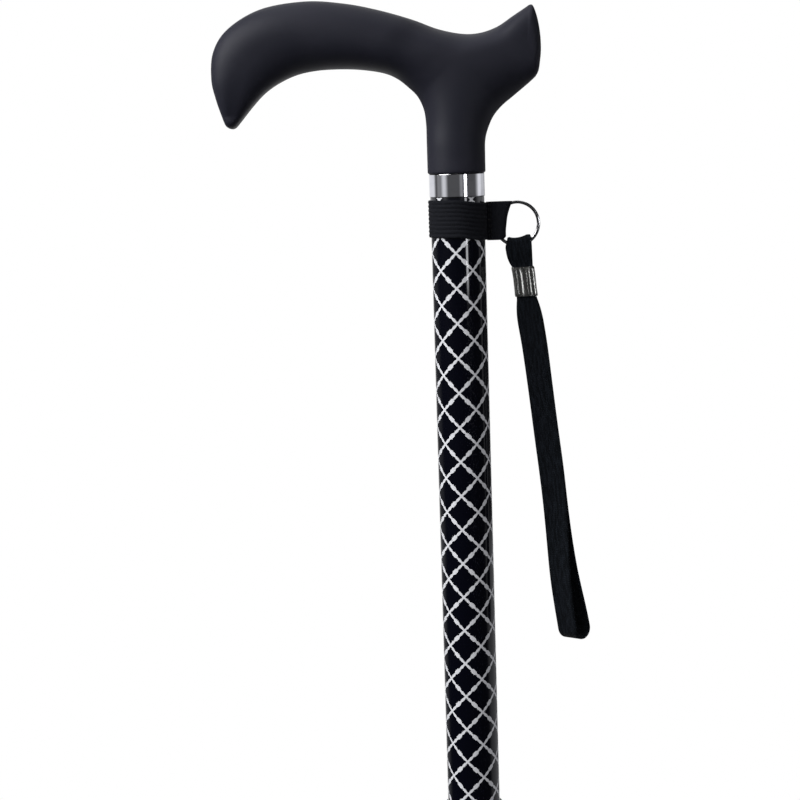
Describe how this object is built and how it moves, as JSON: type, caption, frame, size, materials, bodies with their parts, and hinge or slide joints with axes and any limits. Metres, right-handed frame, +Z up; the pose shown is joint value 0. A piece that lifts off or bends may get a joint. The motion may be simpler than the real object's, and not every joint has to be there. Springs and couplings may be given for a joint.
{
  "type": "folding cane",
  "caption": "Folding walking cane with a derby handle, trellis-printed shaft, shock-corded fold joints, height-adjustable leg, rubber tip and a wrist strap on a keeper band.",
  "frame": {"origin": "middle of the rubber tip's sole, on the shaft's axis", "axes": "+Z up the shaft, -X towards the hook of the handle, +X towards its nose and the wrist strap, -Y towards the snap button"},
  "size_m": [0.1528, 0.031, 0.8746],
  "materials": {
    "soft_grip": "soft-touch black",
    "core_plastic": "moulded grey",
    "steel": "plain steel",
    "chrome": "polished plating",
    "printed_tube": "gloss black aluminium with a white trellis print",
    "shock_cord": "braided elastic cord",
    "joint_plastic": "moulded black",
    "lock_plastic": "moulded black, grooved",
    "leg_metal": "black anodised aluminium",
    "tip_rubber": "moulded black rubber",
    "elastic": "ribbed black elastic",
    "strap_webbing": "woven black webbing"
  },
  "bodies": {
    "upper_section": {"handle_grip": "soft_grip", "handle_core": "core_plastic", "handle_pin": "steel", "collar_ring": "chrome", "upper_tube": "printed_tube", "anchor_washer": "steel", "cord_upper": "shock_cord", "upper_socket": "joint_plastic"},
    "middle_section": {"middle_plug": "joint_plastic", "middle_tube": "printed_tube", "cord_middle": "shock_cord", "middle_socket": "joint_plastic"},
    "lower_section": {"lower_plug": "joint_plastic", "lower_tube": "printed_tube", "cord_lower": "shock_cord", "stop_washer": "steel", "lock_collet": "joint_plastic"},
    "lock_nut": {"lock_nut": "lock_plastic"},
    "leg": {"leg_tube": "leg_metal", "rubber_tip": "tip_rubber", "tip_washer": "steel"},
    "snap_clip": {"snap_clip": "steel"},
    "keeper": {"keeper_band": "elastic", "keeper_tab": "elastic"},
    "ring": {"split_ring": "chrome"},
    "strap": {"wrist_strap": "strap_webbing", "strap_crimp": "chrome"}
  },
  "joints": [
    {"name": "fold_upper", "type": "hinge", "parent": "upper_section", "child": "middle_section", "pos_m": [0, 0.0137, 0.517], "axis": [1, 0, 0], "range_deg": [0, 180], "stiffness_Nm_per_rad": 0.25, "springref_deg": -114.59},
    {"name": "fold_lower", "type": "hinge", "parent": "middle_section", "child": "lower_section", "pos_m": [0, -0.0137, 0.232], "axis": [-1, 0, 0], "range_deg": [0, 180], "stiffness_Nm_per_rad": 0.25, "springref_deg": -114.59},
    {"name": "lock_nut_turn", "type": "hinge", "parent": "lower_section", "child": "lock_nut", "pos_m": [0, 0, 0.09], "axis": [0, 0, 1], "range_deg": [0, 180]},
    {"name": "height_slide", "type": "slide", "parent": "lower_section", "child": "leg", "axis": [0, 0, -1], "range_m": [-0.04, 0.04], "deforming": ["snap_clip"]},
    {"name": "button_press", "type": "slide", "parent": "leg", "child": "snap_clip", "axis": [0, 1, 0], "range_m": [0, 0.0034], "stiffness_N_per_m": 3000, "springref_m": -0.001, "deforming": ["snap_clip"]},
    {"name": "keeper_turn", "type": "hinge", "parent": "upper_section", "child": "keeper", "pos_m": [0, 0, 0.783], "axis": [0, 0, 1], "range_deg": [-150, 30]},
    {"name": "ring_turn", "type": "hinge", "parent": "keeper", "child": "ring", "pos_m": [0.02495, 0, 0.7799], "axis": [0, 1, 0], "continuous": true},
    {"name": "strap_swing", "type": "hinge", "parent": "keeper", "child": "strap", "pos_m": [0.02495, 0, 0.7799], "axis": [0, -1, 0], "range_deg": [-6, 70]}
  ]
}
